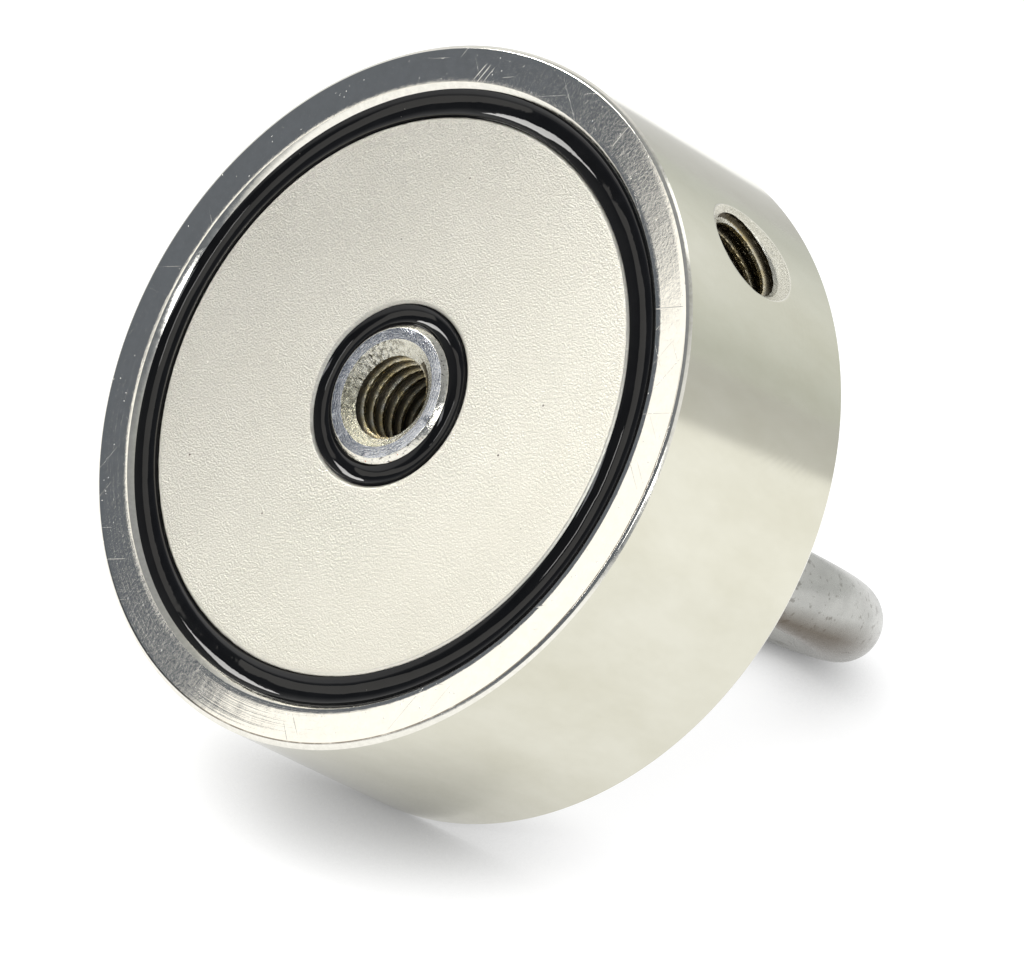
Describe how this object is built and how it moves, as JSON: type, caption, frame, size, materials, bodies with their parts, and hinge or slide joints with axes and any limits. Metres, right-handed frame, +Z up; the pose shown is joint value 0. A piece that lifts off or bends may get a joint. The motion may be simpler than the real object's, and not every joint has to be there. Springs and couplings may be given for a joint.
{
  "type": "fishing magnet",
  "caption": "Round two-faced pot magnet with a threaded centre, a threaded hole in its rim and a screw-in eyebolt, for retrieving steel objects.",
  "frame": {"origin": "on the floor, under the middle of the whole object as it lies propped on its rear rim and on the eye's tip", "axes": "+Z up from the floor; the front magnet face looks towards -Y and 36.3 degrees above level; +X runs across the object, level, and the rim's threaded hole is on that side of its top; the eyebolt points towards +Y and down"},
  "size_m": [0.06, 0.0662, 0.0606],
  "materials": {
    "nickel_steel": "nickel-plated steel, satin outside and finely turned on the rim faces",
    "magnet_nickel": "matt nickel plating with a fine sandblasted grain",
    "black_resin": "glossy cast epoxy",
    "adhesive": "thin cured epoxy bond",
    "washer_steel": "zinc-plated spring steel",
    "eyebolt_steel": "forged and tumbled stainless steel, satin with small scratches"
  },
  "bodies": {
    "pot": {"pot_body": "nickel_steel", "front_magnet": "magnet_nickel", "rear_magnet": "magnet_nickel", "front_adhesive": "adhesive", "rear_adhesive": "adhesive", "front_outer_resin": "black_resin", "front_inner_resin": "black_resin", "rear_outer_resin": "black_resin", "rear_inner_resin": "black_resin"},
    "washer": {"spring_washer": "washer_steel"},
    "bolt": {"eyebolt": "eyebolt_steel"}
  },
  "joints": [
    {"name": "thread_travel", "type": "slide", "parent": "pot", "child": "washer", "axis": [0, 0.8059, -0.592], "range_m": [0, 0.01065]},
    {"name": "bolt_turn", "type": "hinge", "parent": "washer", "child": "bolt", "pos_m": [0, 0.00177, 0.02394], "axis": [0, 0.8059, -0.592], "range_deg": [0, 3060]}
  ],
  "couplings": [
    {"joint": "thread_travel", "follows": "bolt_turn", "m_per_rad": 0.00019894}
  ]
}
